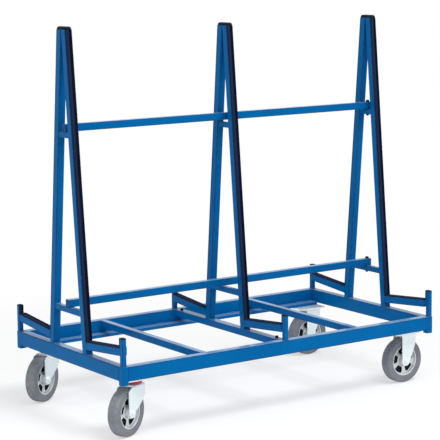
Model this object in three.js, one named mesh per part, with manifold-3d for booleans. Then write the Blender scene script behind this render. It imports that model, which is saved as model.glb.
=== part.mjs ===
import * as THREE from "three";
import { mergeVertices } from "three/addons/utils/BufferGeometryUtils.js";
import Module from "manifold-3d";

const wasm = await Module();
wasm.setup();

// All sizes are in millimetres, with X along the cart, Y across it and Z up from the floor.

// Overall sizes
const CART_LENGTH = 1630;
const CART_WIDTH = 870;
const CART_HEIGHT = 1630;

// Clearances
const FIT_GAP = 0.3;
const RUNNING_GAP = 1;
const BORE_GAP = 0.3;

// Wheels
const WHEEL_RADIUS = 100;
const WHEEL_SIDES = 40;
const TYRE_WIDTH = 50;
const TYRE_SHOULDER = 8;
const TYRE_DEPTH = 32;
const RIM_WIDTH = 44;
const RIM_LIP = 5;
const WEB_WIDTH = 16;
const WEB_DRAFT = 2;
const HUB_RADIUS = 27;
const HUB_WIDTH = 56;
const AXLE_RADIUS = 6;
const POCKET_COUNT = 5;
const POCKET_MARGIN = 3;
const POCKET_ANGLE = 46;
const POCKET_FLOOR = 4;
const LEFT_RIM_TURN = 87;
const RIGHT_RIM_TURN = 97;

// Casters
const CASTER_INSET_X = 105;
const CASTER_INSET_Y = 88;
const CASTER_TRAIL = 56;
const FRONT_SWIVEL_TURN = 23.5;
const REAR_SWIVEL_TURN = 28;
const CROWN_CLEARANCE = 3;
const CROWN_THICKNESS = 5;
const CROWN_REACH = 40;
const CHEEK_THICKNESS = 4;
const CHEEK_REAR = 22;
const SWIVEL_CHEEK_FRONT = 90;
const FIXED_CHEEK_FRONT = 54;
const CHEEK_SHOULDER = 45;
const CHEEK_EYE_RADIUS = 22;
const BOLT_HEAD_RADIUS = 10;
const BOLT_HEAD_HEIGHT = 6;
const BOLT_HEAD_SIDES = 6;
const RING_RADIUS = 35;
const RING_HEIGHT = 18;
const KINGPIN_RADIUS = 12;
const PLATE_LENGTH = 140;
const PLATE_WIDTH = 110;
const PLATE_THICKNESS = 6;
const ROUND_SIDES = 32;
const CURVE_SIDES = 7;

// Base frame
const RAIL_WIDTH = 40;
const RAIL_HEIGHT = 60;
const RAIL_WALL = 3;
const LEDGE_WIDTH = 45;
const LEDGE_RISE = 6;
const LEDGE_DROP = 8;
const CORNER_SIDE = 30;
const CORNER_DROP = 15;
const POST_SIDE = 20;
const POST_WALL = 2;
const POST_INSET = 12;
const POST_RISE = 117;
const CENTRE_MEMBER_WIDTH = 40;
const SIDE_MEMBER_WIDTH = 30;
const SIDE_MEMBER_OFFSET = 400;
const MEMBER_HEIGHT = 30;

// A-frames
const LEG_SIDE = 32;
const LEG_WALL = 2;
const FOOT_SPREAD = 150;
const CAP_THICKNESS = 12;
const ARM_SIDE = 32;
const ARM_RISE = 51.5;
const BRACE_SIDE = 25;
const LOWER_BRACE_RISE = 174;
const UPPER_BRACE_DROP = 415.5;
const MIDDLE_FRAME_DROP = 9;
const LONG_TUBE_SIDE = 32;
const LONG_TUBE_WALL = 2;
const LINING_THICKNESS = 5;
const LINING_WIDTH = 30;

// Heights that follow from the sizes above
const CROWN_UNDERSIDE = 2 * WHEEL_RADIUS + CROWN_CLEARANCE;
const CROWN_TOP = CROWN_UNDERSIDE + CROWN_THICKNESS;
const PLATE_UNDERSIDE = CROWN_TOP + RING_HEIGHT;
const PLATE_TOP = PLATE_UNDERSIDE + PLATE_THICKNESS;
const RAIL_BOTTOM = PLATE_TOP + LEDGE_DROP;
const BASE_TOP = RAIL_BOTTOM + RAIL_HEIGHT;
const POST_TOP = BASE_TOP + POST_RISE;
const LEG_TOP = CART_HEIGHT - CAP_THICKNESS;

// Plan positions that follow from the sizes above
const HALF_LENGTH = CART_LENGTH / 2;
const HALF_WIDTH = CART_WIDTH / 2;
const RAIL_INNER_Y = HALF_WIDTH - RAIL_WIDTH;
const END_FRAME_X = HALF_LENGTH - RAIL_WIDTH / 2;
const CASTER_X = HALF_LENGTH - CASTER_INSET_X;
const CASTER_Y = HALF_WIDTH - CASTER_INSET_Y;
const CORNER_POST_X = HALF_LENGTH - POST_INSET;
const POST_Y = HALF_WIDTH - POST_INSET;
const POST_FACE_Y = POST_Y - POST_SIDE / 2;

// Lean of the legs: they stand FOOT_SPREAD out at the base and meet at the top
const APEX_SPREAD = LEG_SIDE + FIT_GAP / 2;
const LEAN = (FOOT_SPREAD - APEX_SPREAD) / (LEG_TOP - BASE_TOP);
const SLANT = Math.hypot(1, LEAN);

// Flats of the faceted wheel touch the true radius
const FLAT = 1 / Math.cos(Math.PI / WHEEL_SIDES);
const RIM_RADIUS = WHEEL_RADIUS - TYRE_DEPTH;
const FORK_INNER_Y = HUB_WIDTH / 2 + RUNNING_GAP;
const FORK_OUTER_Y = FORK_INNER_Y + CHEEK_THICKNESS;

// Materials
function finish(color, roughness, metalness) {
  return () => new THREE.MeshStandardMaterial({ color, roughness, metalness });
}
const blueCoat = finish(0x0f6fb4, 0.4, 0.1);
const blackRubber = finish(0x10141c, 0.75, 0);
const blackPlastic = finish(0x121318, 0.5, 0);
const zincSteel = finish(0xd5dcdd, 0.35, 0.9);
const castAlloy = finish(0xc9cfd0, 0.4, 0.9);
const greyTyre = finish(0x77797a, 0.8, 0);
const redCover = finish(0xb3193f, 0.45, 0);

// A closed solid from a three.js geometry
function solid(geometry) {
  const bare = geometry.clone();
  bare.deleteAttribute("normal");
  bare.deleteAttribute("uv");
  const merged = mergeVertices(bare, 1e-4);
  return new wasm.Manifold(
    new wasm.Mesh({
      numProp: 3,
      vertProperties: merged.attributes.position.array,
      triVerts: new Uint32Array(merged.index.array),
    }),
  );
}

// A named mesh made from a solid
function piece(name, shape, material) {
  const data = shape.getMesh();
  const geometry = new THREE.BufferGeometry();
  geometry.setAttribute("position", new THREE.BufferAttribute(data.vertProperties, 3));
  geometry.setIndex(new THREE.BufferAttribute(data.triVerts, 1));
  geometry.computeVertexNormals();
  const mesh = new THREE.Mesh(geometry, material());
  mesh.name = name;
  return mesh;
}

// A box between two corners
function block(low, high) {
  const size = high.map((value, i) => value - low[i]);
  const middle = high.map((value, i) => (value + low[i]) / 2);
  const geometry = new THREE.BoxGeometry(...size);
  geometry.translate(...middle);
  return solid(geometry);
}

// A side view outline of [y, z] points, drawn out along X between two positions
const SIDE_VIEW = new THREE.Matrix4().makeBasis(
  new THREE.Vector3(0, 1, 0),
  new THREE.Vector3(0, 0, 1),
  new THREE.Vector3(1, 0, 0),
);
function drawAlongX(outline, fromX, toX) {
  const shape = new THREE.Shape(outline.map(([y, z]) => new THREE.Vector2(y, z)));
  const geometry = new THREE.ExtrudeGeometry(shape, { depth: toX - fromX, bevelEnabled: false });
  geometry.applyMatrix4(SIDE_VIEW);
  geometry.translate(fromX, 0, 0);
  return solid(geometry);
}

// A front view shape in X and Z, drawn out along Y between two positions
function drawAlongY(shape, fromY, toY) {
  const geometry = new THREE.ExtrudeGeometry(shape, {
    depth: toY - fromY,
    bevelEnabled: false,
    curveSegments: CURVE_SIDES,
  });
  geometry.rotateX(Math.PI / 2);
  geometry.translate(0, toY, 0);
  return solid(geometry);
}

// A [radius, height] outline turned about Y, closed on itself
function turned(outline, sides) {
  const closed = [...outline, outline[0]];
  const points = closed.map(([r, y]) => new THREE.Vector2(r, y));
  return solid(new THREE.LatheGeometry(points, sides, Math.PI / sides));
}

// A bar along Y with a number of sides, its middle at a point in X and Z
function barAlongY(radius, fromY, toY, sides, x, z) {
  const geometry = new THREE.CylinderGeometry(radius, radius, toY - fromY, sides);
  geometry.translate(x, (fromY + toY) / 2, z);
  return solid(geometry);
}

// A round bar along Z
function barAlongZ(radius, fromZ, toZ) {
  const geometry = new THREE.CylinderGeometry(radius, radius, toZ - fromZ, ROUND_SIDES);
  geometry.rotateX(Math.PI / 2);
  geometry.translate(0, 0, (fromZ + toZ) / 2);
  return solid(geometry);
}

// A rectangular tube along X, open at both ends
function tubeAlongX(low, high, wall) {
  const inside = block(
    [low[0] - wall, low[1] + wall, low[2] + wall],
    [high[0] + wall, high[1] - wall, high[2] - wall],
  );
  return block(low, high).subtract(inside);
}

// A rectangular tube along Y, open at both ends
function tubeAlongY(low, high, wall) {
  const inside = block(
    [low[0] + wall, low[1] - wall, low[2] + wall],
    [high[0] - wall, high[1] + wall, high[2] - wall],
  );
  return block(low, high).subtract(inside);
}

// Lines of the A-frame's side view, y outward from the middle: a point and a direction
function legFace(offset) {
  return { at: [FOOT_SPREAD + offset * SLANT, BASE_TOP], way: [-LEAN, 1] };
}
function legBack(offset) {
  return { at: [FOOT_SPREAD - LEG_SIDE - offset * SLANT, BASE_TOP], way: [-LEAN, 1] };
}
function armTop(offset) {
  const y = FOOT_SPREAD - LEAN * ARM_RISE;
  return { at: [y, BASE_TOP + ARM_RISE + offset * SLANT], way: [1, LEAN] };
}
function postFace(offset) {
  return { at: [POST_FACE_Y - offset, BASE_TOP], way: [0, 1] };
}
function level(z) {
  return { at: [0, z], way: [1, 0] };
}

// The point where two of those lines cross
function crossing(a, b) {
  const apart = [b.at[0] - a.at[0], b.at[1] - a.at[1]];
  const area = a.way[0] * b.way[1] - a.way[1] * b.way[0];
  const along = (apart[0] * b.way[1] - apart[1] * b.way[0]) / area;
  return [a.at[0] + along * a.way[0], a.at[1] + along * a.way[1]];
}

// The same outline on the front (-1) or the rear (+1) of the cart
function onSide(outline, side) {
  return outline.map(([y, z]) => [side * y, z]);
}

const cart = new THREE.Group();
cart.name = "sheet_goods_cart";

// Base frame
const base = new THREE.Group();
base.name = "base";
cart.add(base);

const RAIL_END_X = HALF_LENGTH - CORNER_SIDE;
const RAIL_END_Y = HALF_WIDTH - CORNER_SIDE;
const LEDGE_END_X = HALF_LENGTH - RAIL_WIDTH - FIT_GAP;

// A long rail: a rectangular tube with the caster ledge along its lower inner edge
function longRail(side) {
  const inner = side * RAIL_INNER_Y;
  const outer = side * HALF_WIDTH;
  const tube = tubeAlongX(
    [-RAIL_END_X, Math.min(inner, outer), RAIL_BOTTOM],
    [RAIL_END_X, Math.max(inner, outer), BASE_TOP],
    RAIL_WALL,
  );
  const edge = inner - side * LEDGE_WIDTH;
  const root = inner + side * RAIL_WALL;
  const ledge = block(
    [-LEDGE_END_X, Math.min(edge, root), PLATE_TOP],
    [LEDGE_END_X, Math.max(edge, root), RAIL_BOTTOM + LEDGE_RISE],
  );
  return tube.add(ledge);
}
base.add(piece("rail_front", longRail(-1), blueCoat));
base.add(piece("rail_rear", longRail(1), blueCoat));

// An end rail, its inner corners notched round the long rails
function endRail(side) {
  const inner = HALF_LENGTH - RAIL_WIDTH;
  const lowX = side > 0 ? inner : -HALF_LENGTH;
  const highX = side > 0 ? HALF_LENGTH : -inner;
  const tube = tubeAlongY([lowX, -RAIL_END_Y, RAIL_BOTTOM], [highX, RAIL_END_Y, BASE_TOP], RAIL_WALL);
  const notchY = RAIL_INNER_Y - FIT_GAP;
  const notchX = RAIL_END_X + FIT_GAP;
  const notches = [-1, 1].map((end) =>
    block(
      [side > 0 ? inner - FIT_GAP : -notchX, end > 0 ? notchY : -HALF_WIDTH, PLATE_TOP],
      [side > 0 ? notchX : FIT_GAP - inner, end > 0 ? HALF_WIDTH : -notchY, BASE_TOP + FIT_GAP],
    ),
  );
  return notches.reduce((left, notch) => left.subtract(notch), tube);
}
base.add(piece("rail_left", endRail(-1), blueCoat));
base.add(piece("rail_right", endRail(1), blueCoat));

// A cross member between the long rails, its top level with them
function crossMember(x, width) {
  return tubeAlongY(
    [x - width / 2, -RAIL_INNER_Y, BASE_TOP - MEMBER_HEIGHT],
    [x + width / 2, RAIL_INNER_Y, BASE_TOP],
    RAIL_WALL,
  );
}
base.add(piece("member_left", crossMember(-SIDE_MEMBER_OFFSET, SIDE_MEMBER_WIDTH), blueCoat));
base.add(piece("member_centre", crossMember(0, CENTRE_MEMBER_WIDTH), blueCoat));
base.add(piece("member_right", crossMember(SIDE_MEMBER_OFFSET, SIDE_MEMBER_WIDTH), blueCoat));

// A thin post standing at a point in plan, and the space inside it
function post(x, y, fromZ, toZ) {
  const half = POST_SIDE / 2;
  return block([x - half, y - half, fromZ], [x + half, y + half, toZ]);
}
function postBore(x, y, fromZ, toZ) {
  const half = POST_SIDE / 2 - POST_WALL;
  return block([x - half, y - half, fromZ - POST_WALL], [x + half, y + half, toZ + POST_WALL]);
}

// A corner post: the corner tube that joins two rails, with its thin post
function cornerPost(sideX, sideY) {
  const x = sideX * CORNER_POST_X;
  const y = sideY * POST_Y;
  const middleX = sideX * (HALF_LENGTH - CORNER_SIDE / 2);
  const middleY = sideY * (HALF_WIDTH - CORNER_SIDE / 2);
  const half = CORNER_SIDE / 2;
  const foot = RAIL_BOTTOM - CORNER_DROP;
  const corner = block(
    [middleX - half, middleY - half, foot],
    [middleX + half, middleY + half, BASE_TOP],
  );
  const upright = post(x, y, BASE_TOP - POST_SIDE, POST_TOP);
  return corner.add(upright).subtract(postBore(x, y, foot, POST_TOP));
}
const SIDES_X = [["left", -1], ["right", 1]];
const SIDES_Y = [["front", -1], ["rear", 1]];
for (const [nameX, sideX] of SIDES_X) {
  for (const [nameY, sideY] of SIDES_Y) {
    base.add(piece(`corner_post_${nameY}_${nameX}`, cornerPost(sideX, sideY), blueCoat));
  }
}

// Middle posts on the long rails, as much lower as the middle A-frame
const MIDDLE_POST_TOP = POST_TOP - MIDDLE_FRAME_DROP;
for (const [nameY, sideY] of SIDES_Y) {
  const y = sideY * POST_Y;
  const bore = postBore(0, y, BASE_TOP, MIDDLE_POST_TOP);
  const shape = post(0, y, BASE_TOP, MIDDLE_POST_TOP).subtract(bore);
  base.add(piece(`middle_post_${nameY}`, shape, blueCoat));
}

// A-frames

// A leaning leg with both ends cut level
function leg(x, side, footZ) {
  const half = LEG_SIDE / 2;
  const bar = (wall) => {
    const outline = [
      crossing(legFace(-wall), level(footZ - wall)),
      crossing(legFace(-wall), level(LEG_TOP + wall)),
      crossing(legBack(-wall), level(LEG_TOP + wall)),
      crossing(legBack(-wall), level(footZ - wall)),
    ];
    return drawAlongX(onSide(outline, side), x - half + wall, x + half - wall);
  };
  return bar(0).subtract(bar(LEG_WALL));
}

// An arm square to the leg, from its face out to the post
function arm(x, side) {
  const half = ARM_SIDE / 2;
  const bar = (wall) => {
    const inEnd = legFace(FIT_GAP - wall);
    const outEnd = postFace(FIT_GAP - wall);
    const outline = [
      crossing(inEnd, armTop(-wall)),
      crossing(outEnd, armTop(-wall)),
      crossing(outEnd, armTop(wall - ARM_SIDE)),
      crossing(inEnd, armTop(wall - ARM_SIDE)),
    ];
    return drawAlongX(onSide(outline, side), x - half + wall, x + half - wall);
  };
  return bar(0).subtract(bar(LEG_WALL));
}

// A level brace between the two legs of a frame
function brace(x, topZ) {
  const half = BRACE_SIDE / 2;
  const bar = (wall) => {
    const low = crossing(legBack(FIT_GAP - wall), level(topZ - BRACE_SIDE + wall));
    const high = crossing(legBack(FIT_GAP - wall), level(topZ - wall));
    const outline = [low, high, [-high[0], high[1]], [-low[0], low[1]]];
    return drawAlongX(outline, x - half + wall, x + half - wall);
  };
  return bar(0).subtract(bar(LEG_WALL));
}

// A rubber lining: down the leg's face, out along the arm and up the post
function lining(x, side, postX) {
  const near = FIT_GAP;
  const far = FIT_GAP + LINING_THICKNESS;
  const legAndArm = [
    crossing(legFace(near), level(LEG_TOP)),
    crossing(legFace(near), armTop(near)),
    crossing(postFace(near), armTop(near)),
    crossing(postFace(near), armTop(far)),
    crossing(legFace(far), armTop(far)),
    crossing(legFace(far), level(LEG_TOP)),
  ];
  const upThePost = [
    crossing(postFace(near), armTop(near)),
    crossing(postFace(near), level(POST_TOP)),
    crossing(postFace(far), level(POST_TOP)),
    crossing(postFace(far), armTop(near)),
  ];
  const half = LINING_WIDTH / 2;
  const halfPost = POST_SIDE / 2;
  const long = drawAlongX(onSide(legAndArm, side), x - half, x + half);
  return long.add(drawAlongX(onSide(upThePost, side), postX - halfPost, postX + halfPost));
}

// The black cap over the meeting legs and the ends of their linings
function topCap(x) {
  const half = LEG_SIDE / 2;
  const reach = APEX_SPREAD + (FIT_GAP + LINING_THICKNESS) * SLANT;
  return block([x - half, -reach, LEG_TOP], [x + half, reach, CART_HEIGHT]);
}

const LOWER_BRACE_TOP = BASE_TOP + LOWER_BRACE_RISE;
const UPPER_BRACE_TOP = LEG_TOP - UPPER_BRACE_DROP;

// Each frame's name, its place along X, its posts' place along X, and how far it sits below the others
const FRAMES = [
  ["left", -END_FRAME_X, -CORNER_POST_X, 0],
  ["middle", 0, 0, MIDDLE_FRAME_DROP],
  ["right", END_FRAME_X, CORNER_POST_X, 0],
];
for (const [name, x, postX, drop] of FRAMES) {
  const frame = new THREE.Group();
  frame.name = `a_frame_${name}`;
  frame.position.z = -drop;
  cart.add(frame);
  for (const [nameY, sideY] of SIDES_Y) {
    frame.add(piece(`leg_${name}_${nameY}`, leg(x, sideY, BASE_TOP + drop), blueCoat));
    frame.add(piece(`arm_${name}_${nameY}`, arm(x, sideY), blueCoat));
    frame.add(piece(`lining_${name}_${nameY}`, lining(x, sideY, postX), blackRubber));
  }
  frame.add(piece(`lower_brace_${name}`, brace(x, LOWER_BRACE_TOP), blueCoat));
  frame.add(piece(`upper_brace_${name}`, brace(x, UPPER_BRACE_TOP), blueCoat));
  frame.add(piece(`top_cap_${name}`, topCap(x), blackPlastic));
}

// Long tubes lying on the end frames' braces along the middle of the cart, clear of the middle frame's
function longTube(restZ) {
  const half = LONG_TUBE_SIDE / 2;
  const end = END_FRAME_X + BRACE_SIDE / 2;
  return tubeAlongX(
    [-end, -half, restZ],
    [end, half, restZ + LONG_TUBE_SIDE],
    LONG_TUBE_WALL,
  );
}
cart.add(piece("long_tube_lower", longTube(LOWER_BRACE_TOP), blueCoat));
cart.add(piece("long_tube_upper", longTube(UPPER_BRACE_TOP), blueCoat));

// Casters, each in a group whose X points the way its wheel rolls

// The tyre, with rounded shoulders
function tyre() {
  const inner = (RIM_RADIUS + FIT_GAP) * FLAT;
  const outer = WHEEL_RADIUS * FLAT;
  const half = TYRE_WIDTH / 2;
  const bevel = TYRE_SHOULDER * (1 - Math.SQRT1_2);
  return turned(
    [
      [inner, -half],
      [outer - TYRE_SHOULDER, -half],
      [outer - bevel, bevel - half],
      [outer, TYRE_SHOULDER - half],
      [outer, half - TYRE_SHOULDER],
      [outer - bevel, half - bevel],
      [outer - TYRE_SHOULDER, half],
      [inner, half],
    ],
    WHEEL_SIDES,
  );
}

// The cast rim, with kidney pockets sunk in both faces of its web, the first at an angle in degrees
function rim(turn) {
  const bore = AXLE_RADIUS + BORE_GAP;
  const outer = RIM_RADIUS * FLAT;
  const lip = outer - RIM_LIP;
  const half = RIM_WIDTH / 2;
  const web = WEB_WIDTH / 2;
  const hub = HUB_WIDTH / 2;
  const body = turned(
    [
      [bore, -hub],
      [HUB_RADIUS - WEB_DRAFT, -hub],
      [HUB_RADIUS, -web],
      [lip - WEB_DRAFT, -web],
      [lip, -half],
      [outer, -half],
      [outer, half],
      [lip, half],
      [lip - WEB_DRAFT, web],
      [HUB_RADIUS, web],
      [HUB_RADIUS - WEB_DRAFT, hub],
      [bore, hub],
    ],
    WHEEL_SIDES,
  );
  const inside = HUB_RADIUS + POCKET_MARGIN;
  const outside = lip - WEB_DRAFT - POCKET_MARGIN;
  const floor = POCKET_FLOOR / 2;
  const pockets = Array.from({ length: POCKET_COUNT }, (_, i) => {
    const middle = (i / POCKET_COUNT) * 2 * Math.PI + THREE.MathUtils.degToRad(turn);
    const spread = THREE.MathUtils.degToRad(POCKET_ANGLE) / 2;
    const shape = new THREE.Shape();
    shape.absarc(0, 0, outside, middle - spread, middle + spread, false);
    shape.absarc(0, 0, inside, middle + spread, middle - spread, true);
    return drawAlongY(shape, -WEB_WIDTH, -floor).add(drawAlongY(shape, floor, WEB_WIDTH));
  });
  return pockets.reduce((left, pocket) => left.subtract(pocket), body);
}

// One side of a fork, from its top, which reaches out ahead of the axle, down to the eye round it
function cheekShape(axleX, front, topZ) {
  const eye = CHEEK_EYE_RADIUS;
  const shape = new THREE.Shape();
  shape.moveTo(axleX + front, topZ);
  shape.lineTo(axleX - CHEEK_REAR, topZ);
  shape.lineTo(axleX - eye, WHEEL_RADIUS);
  shape.absarc(axleX, WHEEL_RADIUS, eye, Math.PI, 2 * Math.PI, false);
  shape.lineTo(axleX + front, topZ - CHEEK_SHOULDER);
  shape.closePath();
  return shape;
}

// Both cheeks with the axle bolt through them
function cheeksAndAxle(axleX, front, topZ) {
  const shape = cheekShape(axleX, front, topZ);
  const cheeks = drawAlongY(shape, FORK_INNER_Y, FORK_OUTER_Y).add(
    drawAlongY(shape, -FORK_OUTER_Y, -FORK_INNER_Y),
  );
  const headEnd = FORK_OUTER_Y + BOLT_HEAD_HEIGHT;
  const bar = (radius, fromY, toY, sides) => barAlongY(radius, fromY, toY, sides, axleX, WHEEL_RADIUS);
  const axle = bar(AXLE_RADIUS, -headEnd, headEnd, ROUND_SIDES)
    .add(bar(BOLT_HEAD_RADIUS, FORK_OUTER_Y, headEnd, BOLT_HEAD_SIDES))
    .add(bar(BOLT_HEAD_RADIUS, -headEnd, -FORK_OUTER_Y, BOLT_HEAD_SIDES));
  return cheeks.add(axle);
}

// The swivel fork: a crown that joins the cheeks round the kingpin, open behind it over the wheel
function swivelFork() {
  const crown = block(
    [-CROWN_REACH, -FORK_OUTER_Y, CROWN_UNDERSIDE],
    [SWIVEL_CHEEK_FRONT - CASTER_TRAIL, FORK_OUTER_Y, CROWN_TOP],
  );
  const kingpin = barAlongZ(KINGPIN_RADIUS, CROWN_UNDERSIDE, PLATE_TOP);
  return cheeksAndAxle(-CASTER_TRAIL, SWIVEL_CHEEK_FRONT, CROWN_TOP).add(crown).add(kingpin);
}

// The red cover round the swivel bearing
function swivelRing() {
  const hole = barAlongZ(KINGPIN_RADIUS + BORE_GAP, CROWN_UNDERSIDE, PLATE_TOP);
  return barAlongZ(RING_RADIUS, CROWN_TOP + FIT_GAP, PLATE_UNDERSIDE).subtract(hole);
}

// A caster plate under the rail ledge
function plate() {
  return block(
    [-PLATE_LENGTH / 2, -PLATE_WIDTH / 2, PLATE_UNDERSIDE],
    [PLATE_LENGTH / 2, PLATE_WIDTH / 2, PLATE_TOP],
  );
}
function swivelPlate() {
  return plate().subtract(barAlongZ(KINGPIN_RADIUS + BORE_GAP, CROWN_TOP, PLATE_TOP + FIT_GAP));
}

// The fixed bracket, welded to its plate
function fixedBracket() {
  return cheeksAndAxle(0, FIXED_CHEEK_FRONT, PLATE_UNDERSIDE + FIT_GAP).add(plate());
}

// A wheel in its own group, so that it can turn about the group's Y
function wheel(place, axleX, rimTurn) {
  const group = new THREE.Group();
  group.name = `wheel_${place}`;
  group.position.set(axleX, 0, WHEEL_RADIUS);
  group.add(piece(`rim_${place}`, rim(rimTurn), castAlloy));
  group.add(piece(`tyre_${place}`, tyre(), greyTyre));
  return group;
}

const SWIVELS = [
  ["front_left", -1, FRONT_SWIVEL_TURN],
  ["rear_left", 1, REAR_SWIVEL_TURN],
];
for (const [place, sideY, turn] of SWIVELS) {
  const mount = new THREE.Group();
  mount.name = `caster_${place}`;
  mount.position.set(-CASTER_X, sideY * CASTER_Y, 0);
  mount.add(piece(`caster_plate_${place}`, swivelPlate(), zincSteel));
  mount.add(piece(`caster_ring_${place}`, swivelRing(), redCover));
  const swivel = new THREE.Group();
  swivel.name = `swivel_${place}`;
  swivel.rotation.z = THREE.MathUtils.degToRad(turn);
  swivel.add(piece(`caster_fork_${place}`, swivelFork(), zincSteel));
  swivel.add(wheel(place, -CASTER_TRAIL, LEFT_RIM_TURN));
  mount.add(swivel);
  cart.add(mount);
}

const FIXED = [
  ["front_right", -1],
  ["rear_right", 1],
];
for (const [place, sideY] of FIXED) {
  const mount = new THREE.Group();
  mount.name = `caster_${place}`;
  mount.position.set(CASTER_X, sideY * CASTER_Y, 0);
  mount.add(piece(`caster_bracket_${place}`, fixedBracket(), zincSteel));
  mount.add(wheel(place, 0, RIGHT_RIM_TURN));
  cart.add(mount);
}

// The origin is on the floor under the middle of the whole cart, turned casters included
cart.updateMatrixWorld(true);
const middle = new THREE.Box3().setFromObject(cart, true).getCenter(new THREE.Vector3());
cart.position.set(-middle.x, -middle.y, 0);

export default cart;
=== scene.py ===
import math

import bmesh
import bpy
from mathutils import Matrix, Vector

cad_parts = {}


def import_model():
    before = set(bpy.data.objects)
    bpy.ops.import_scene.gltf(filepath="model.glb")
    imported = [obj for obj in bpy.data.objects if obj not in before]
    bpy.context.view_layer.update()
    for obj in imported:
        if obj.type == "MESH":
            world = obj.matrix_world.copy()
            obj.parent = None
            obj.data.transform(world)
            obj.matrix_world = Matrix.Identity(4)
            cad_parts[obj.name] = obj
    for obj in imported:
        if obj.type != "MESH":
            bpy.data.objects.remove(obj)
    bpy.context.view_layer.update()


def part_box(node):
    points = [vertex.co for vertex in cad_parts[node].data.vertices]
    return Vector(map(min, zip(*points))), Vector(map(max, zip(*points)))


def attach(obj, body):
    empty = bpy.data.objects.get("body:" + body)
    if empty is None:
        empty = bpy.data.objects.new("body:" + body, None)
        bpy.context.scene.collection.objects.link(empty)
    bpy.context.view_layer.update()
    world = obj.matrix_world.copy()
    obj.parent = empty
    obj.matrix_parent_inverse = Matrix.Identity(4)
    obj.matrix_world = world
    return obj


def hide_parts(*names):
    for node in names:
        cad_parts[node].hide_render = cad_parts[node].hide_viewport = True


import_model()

# Sizes in millimetres, in the cart's own frame: X along it from its middle, Y across, Z up.
# They repeat the solids that the pieces stand for.

CART_LENGTH = 1630
CART_WIDTH = 870
CART_HEIGHT = 1630
HALF_LENGTH = CART_LENGTH / 2
HALF_WIDTH = CART_WIDTH / 2

WHEEL_RADIUS = 100
TYRE_WIDTH = 50
RIM_RADIUS = 68
RIM_WIDTH = 44
WEB_WIDTH = 16
POCKET_FLOOR = 4
HUB_RADIUS = 27
HUB_WIDTH = 56
AXLE_RADIUS = 6
POCKET_COUNT = 5
POCKET_ANGLE = 46
LEFT_RIM_TURN = 87
RIGHT_RIM_TURN = 97

CASTER_INSET_X = 105
CASTER_INSET_Y = 88
CASTER_X = HALF_LENGTH - CASTER_INSET_X
CASTER_Y = HALF_WIDTH - CASTER_INSET_Y
CASTER_TRAIL = 56
SWIVEL_TURN = {"front_left": 23.5, "rear_left": 28}
CROWN_TOP = 208
CROWN_REACH = 40
PLATE_UNDERSIDE = 226
PLATE_TOP = 232
PLATE_LENGTH = 140
PLATE_WIDTH = 110
CHEEK_OUTER = 33
CHEEK_REAR = 22
SWIVEL_CHEEK_FRONT = 90
FIXED_CHEEK_FRONT = 54
CHEEK_SHOULDER = 45
CHEEK_EYE = 22
RING_RADIUS = 35
KINGPIN_RADIUS = 12
TURNING_GAP = 0.3

RAIL_WIDTH = 40
RAIL_BOTTOM = 240
BASE_TOP = 300
LEDGE_WIDTH = 45
LEDGE_TOP = 246
LEDGE_END_GAP = 0.3
CORNER_SIDE = 30
CORNER_FOOT = 225
POST_SIDE = 20
POST_INSET = 12
POST_TOP = 417
MEMBER_HEIGHT = 30
MEMBERS = {"left": (-400, 30), "centre": (0, 40), "right": (400, 30)}

LEG_SIDE = 32
LEG_TOP = 1618
FOOT_SPREAD = 150
APEX_SPREAD = 32.15
ARM_SIDE = 32
ARM_RISE = 51.5
BRACE_SIDE = 25
LOWER_BRACE_RISE = 174
UPPER_BRACE_DROP = 415.5
MIDDLE_FRAME_DROP = 9
LONG_TUBE_SIDE = 32
LINING_THICKNESS = 5.3
LINING_WIDTH = 30

END_FRAME_X = HALF_LENGTH - RAIL_WIDTH / 2
CORNER_POST_X = HALF_LENGTH - POST_INSET
POST_Y = HALF_WIDTH - POST_INSET
POST_FACE_Y = POST_Y - POST_SIDE / 2
RAIL_INNER_X = HALF_LENGTH - RAIL_WIDTH
RAIL_INNER_Y = HALF_WIDTH - RAIL_WIDTH
RAIL_END_X = HALF_LENGTH - CORNER_SIDE
RAIL_END_Y = HALF_WIDTH - CORNER_SIDE
MEMBER_UNDERSIDE = BASE_TOP - MEMBER_HEIGHT

# Lean of the legs
LEAN = (FOOT_SPREAD - APEX_SPREAD) / (LEG_TOP - BASE_TOP)
SLANT = math.hypot(1, LEAN)

# Finer detail that only this model has

SHARP_ANGLE = 35
CORNER_STEPS = 4
ROUND_SIDES = 28
END_CHAMFER = 0.5
RAIL_ROUND = 5
TUBE_ROUND = 3.2
LEDGE_ROUND = 2.2
LEDGE_SINK = 1
CORNER_ROUNDS = (0.8, 1.6)
POST_ROUND = 2.6
POST_SINK = 4
POST_CAP = 4
POST_CAP_ROUNDS = (0.3, 1.8)

# Rubber strips: the height of the edge and its rounding, the flat ridge along the middle, and a
# groove given as shares of the way up to the ridge, each with its depth
STRIP_EDGE = 4.4
STRIP_EDGE_ROUND = 0.8
STRIP_RIDGE = 3
STRIP_RIDGE_FALL = 0.25
STRIP_GROOVE = ((0.45, 0.5), (0.55, 0.0))
POST_STRIP_GAP = 0.4

CAP_CORNER = 10
CAP_CROWN = 9
CAP_FOOT = 0.4

# Weld beads: radii, the pitch and depth of the ripples, the share left at the tips, and how far
# the ends stay from an edge
BEAD_RADIUS = 2.6
THIN_BEAD = 2
THICK_BEAD = 3
BEAD_SHARP = 60
BEAD_SIDES = 8
BEAD_RIPPLE = 2.4
BEAD_RIPPLE_ROWS = 4
BEAD_LEAST_ROWS = 6
BEAD_RIPPLE_DEPTH = 0.14
BEAD_TIP = 0.35
BEAD_START = 2
BEAD_STOP = 3
RAIL_BEAD_STOP = 4
LEDGE_BEADS = range(-700, 701, 200)
LEDGE_BEAD_HALF = 25
OFF_AXIS = Vector((0.31, 0.53, 0.79))

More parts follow.
